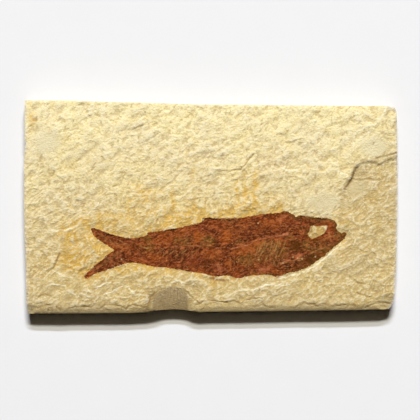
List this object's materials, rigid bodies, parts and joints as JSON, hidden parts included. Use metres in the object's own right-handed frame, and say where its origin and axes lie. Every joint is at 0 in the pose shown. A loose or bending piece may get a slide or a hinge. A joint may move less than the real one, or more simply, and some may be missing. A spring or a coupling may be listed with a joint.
{
  "type": "fossil fish slab",
  "caption": "Flat sawn limestone plate with a split upper face, a scooped notch in its lower edge and a flattened fish fossil set flush in the face.",
  "frame": {"origin": "middle of the flat back, halfway along the plate's length and width", "axes": "+X along the plate towards the fish's head, +Y towards the plate's upper edge, +Z out of the split face"},
  "size_m": [0.1786, 0.102, 0.0128],
  "materials": {
    "limestone": "rough",
    "fossil_bone": "dull"
  },
  "bodies": {
    "root": {"limestone_slab": "limestone", "fossil_fish": "fossil_bone"}
  },
  "joints": []
}
